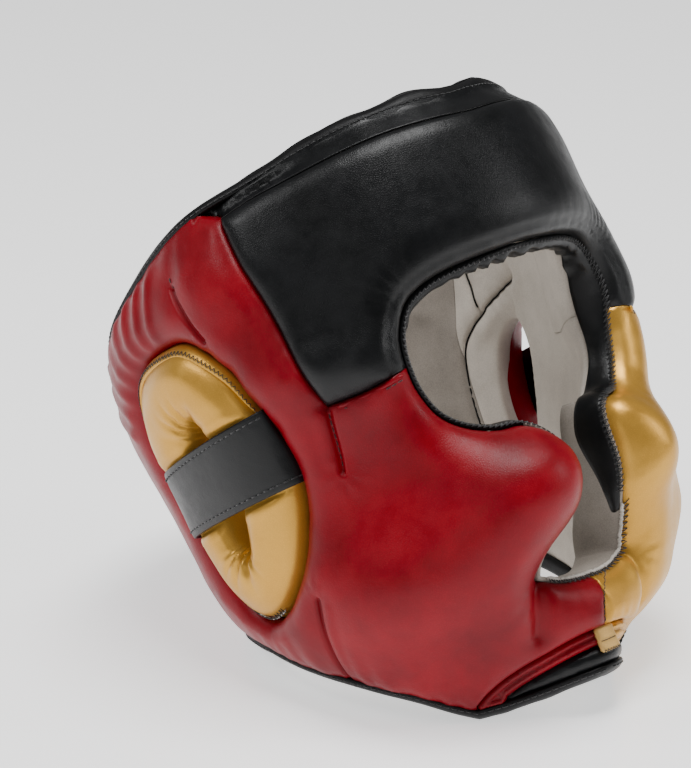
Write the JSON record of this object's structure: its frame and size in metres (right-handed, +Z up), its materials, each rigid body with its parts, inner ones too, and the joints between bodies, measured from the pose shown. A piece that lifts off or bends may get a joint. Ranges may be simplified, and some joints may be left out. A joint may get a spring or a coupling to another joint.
{
  "type": "boxing headgear",
  "caption": "Full-face padded boxing headgear: open crown and neck, eye opening with a soft mouth gap, cheek and chin padding, and puffed ear pads with straps.",
  "frame": {"origin": "centre of the footprint on the floor plane, as the headgear stands on its neck rim", "axes": "+Z up, face towards -Y and pitched back, wearer's left +X"},
  "size_m": [0.2104, 0.2394, 0.2385],
  "materials": {
    "red_leather": "satin grained",
    "gold_leather": "satin metallic coated, grained",
    "black_leather": "satin grained",
    "grey_suede": "matt suede",
    "black_tape": "folded satin binding"
  },
  "bodies": {
    "root": {"forehead_pad": "black_leather", "crown_trim": "black_leather", "right_shell": "red_leather", "left_shell": "gold_leather", "right_ear_pad": "gold_leather", "left_ear_pad": "red_leather", "right_ear_strap": "black_leather", "left_ear_strap": "black_leather", "face_gusset": "black_leather", "forehead_lining": "grey_suede", "right_lining": "grey_suede", "left_lining": "grey_suede", "back_lining": "grey_suede", "right_chin_strip": "red_leather", "left_chin_strip": "gold_leather", "chin_cup": "black_leather", "chin_tab": "gold_leather", "closure_strap": "black_tape", "neck_binding": "black_tape", "crown_binding": "black_tape"}
  },
  "joints": []
}
